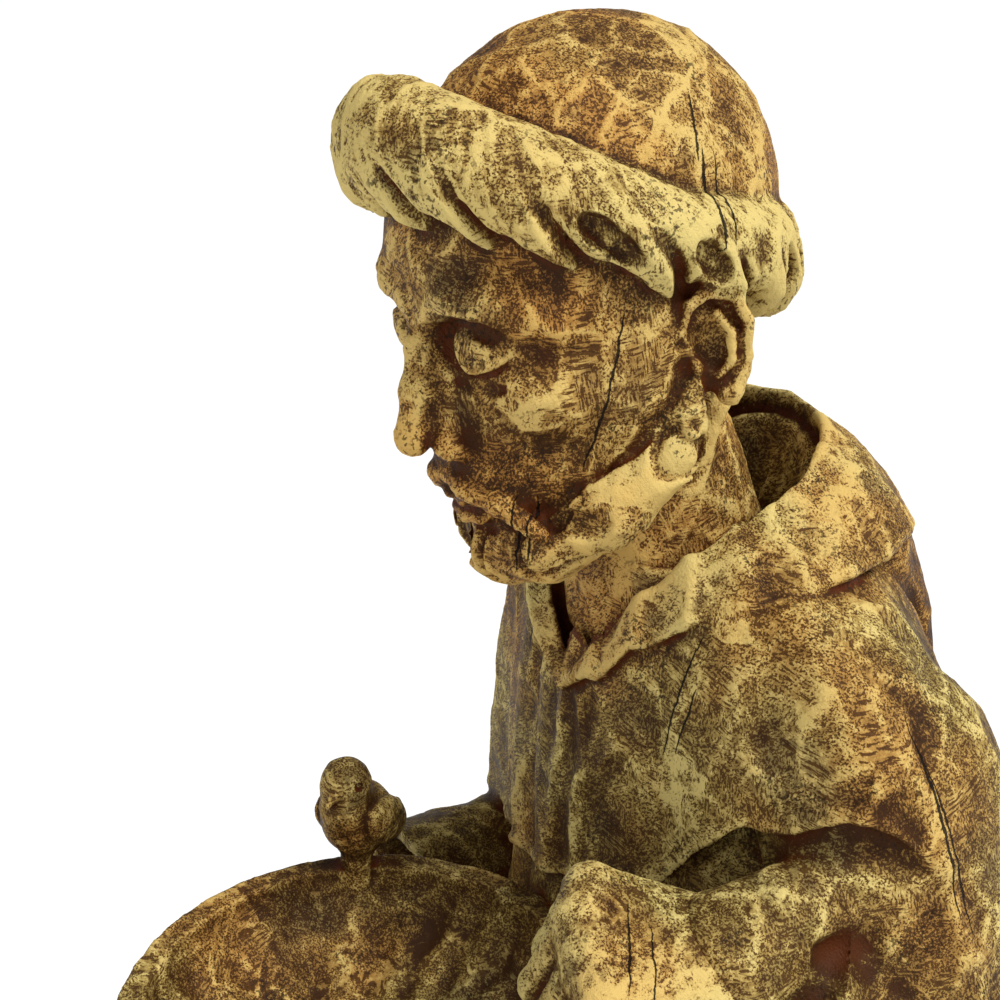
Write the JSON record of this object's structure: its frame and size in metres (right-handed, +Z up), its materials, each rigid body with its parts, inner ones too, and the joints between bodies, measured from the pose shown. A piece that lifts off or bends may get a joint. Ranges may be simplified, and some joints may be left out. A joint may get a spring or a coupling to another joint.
{
  "type": "carved wooden saint statue",
  "caption": "Standing friar carved in one piece of wood, head bowed over a shallow bowl with a dove on its rim, on a low oval base.",
  "frame": {"origin": "middle of the base's underside", "axes": "+Z up, the figure faces -Y and its left hand is at +X"},
  "size_m": [0.1553, 0.1674, 0.6069],
  "materials": {
    "painted_wood": "worn ochre paint dry-brushed over dark brown, with a slight wax sheen"
  },
  "bodies": {
    "root": {"saint_figure": "painted_wood"}
  },
  "joints": []
}
